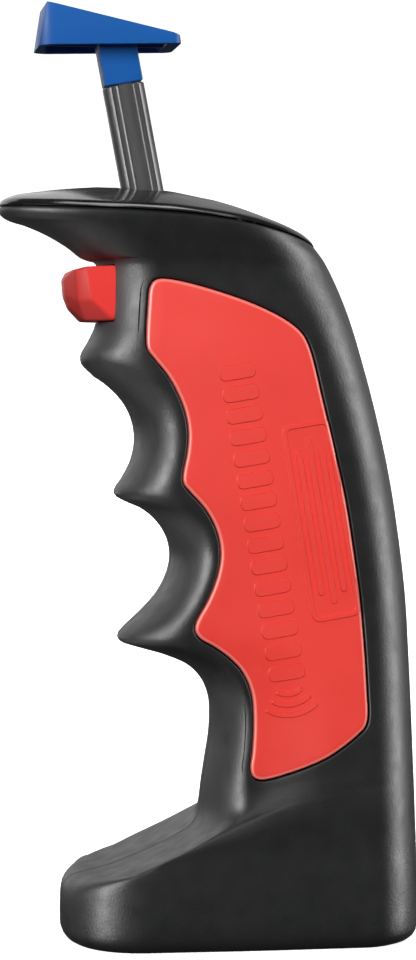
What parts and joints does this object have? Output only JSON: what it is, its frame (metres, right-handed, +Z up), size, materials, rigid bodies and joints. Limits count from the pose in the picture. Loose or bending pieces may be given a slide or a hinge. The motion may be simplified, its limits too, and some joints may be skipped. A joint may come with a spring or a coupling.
{
  "type": "slot car hand controller",
  "caption": "Wireless pistol-grip hand controller with a sprung thumb plunger in its top, a push button under a beaked flange and a flared foot to stand on.",
  "frame": {"origin": "middle of the foot's underside, which the controller stands on", "axes": "+Z up along the grip, -X towards the beak and the button, -Y the left half without screw heads"},
  "size_m": [0.07, 0.0386, 0.1547],
  "materials": {
    "shell_black": "fine-textured black ABS",
    "cover_black": "smooth black ABS, satin to gloss",
    "inlay_red": "satin bright red ABS",
    "screw_steel": "zinc-plated steel",
    "contact_brass": "gold-plated spring brass",
    "clear_plastic": "clear polycarbonate light guide",
    "guide_white": "natural white acetal or nylon",
    "bumper_rubber": "soft black rubber",
    "shaft_black": "black acetal, satin",
    "cap_blue": "satin mid blue ABS",
    "spring_steel": "bright drawn spring wire",
    "button_red": "satin bright red ABS",
    "board_green": "green solder mask over glass fibre",
    "track_carbon": "printed carbon film",
    "switch_black": "moulded black nylon",
    "led_white": "white package with a clear lens",
    "chip_black": "moulded epoxy",
    "module_green": "blue solder mask over glass fibre",
    "shield_steel": "tinned sheet steel",
    "battery_wrap": "foil pouch with a film wrap",
    "wire_red": "soft PVC insulation",
    "wire_white": "soft PVC insulation"
  },
  "bodies": {
    "housing": {"left_shell": "shell_black", "right_shell": "shell_black", "top_cover": "cover_black", "left_grip_inlay": "inlay_red", "right_grip_inlay": "inlay_red", "battery_cover": "shell_black", "battery_cover_screws": "screw_steel", "housing_screws": "screw_steel", "charge_contacts": "contact_brass", "status_lens": "clear_plastic", "plunger_guide": "guide_white", "stop_bumper": "bumper_rubber", "spring_seat": "guide_white", "plunger_spring": "spring_steel", "button_spring": "spring_steel", "circuit_board": "board_green", "resistor_track": "track_carbon", "board_screws": "screw_steel", "switch_body": "switch_black", "status_led": "led_white", "controller_chip": "chip_black", "radio_module": "module_green", "radio_shield": "shield_steel", "battery_socket": "guide_white", "battery_plug": "guide_white", "battery_pack": "battery_wrap", "battery_leads": "wire_red", "charge_leads": "wire_white"},
    "plunger": {"plunger_shaft": "shaft_black", "thumb_cap": "cap_blue", "wiper_carriage": "guide_white", "wiper_contacts": "contact_brass"},
    "button": {"front_button": "button_red"},
    "switch": {"switch_actuator": "guide_white"}
  },
  "joints": [
    {"name": "plunger_slide", "type": "slide", "parent": "housing", "child": "plunger", "axis": [0.184, 0, -0.9829], "range_m": [0, 0.015], "stiffness_N_per_m": 150, "springref_m": -0.006, "deforming": ["plunger_spring"]},
    {"name": "button_press", "type": "slide", "parent": "housing", "child": "button", "axis": [1, 0, 0], "range_m": [0, 0.0015], "stiffness_N_per_m": 400, "springref_m": -0.0015, "deforming": ["button_spring"]},
    {"name": "switch_press", "type": "slide", "parent": "housing", "child": "switch", "axis": [1, 0, 0], "range_m": [0, 0.0015]}
  ],
  "couplings": [
    {"joint": "switch_press", "follows": "button_press", "ratio": 1}
  ]
}
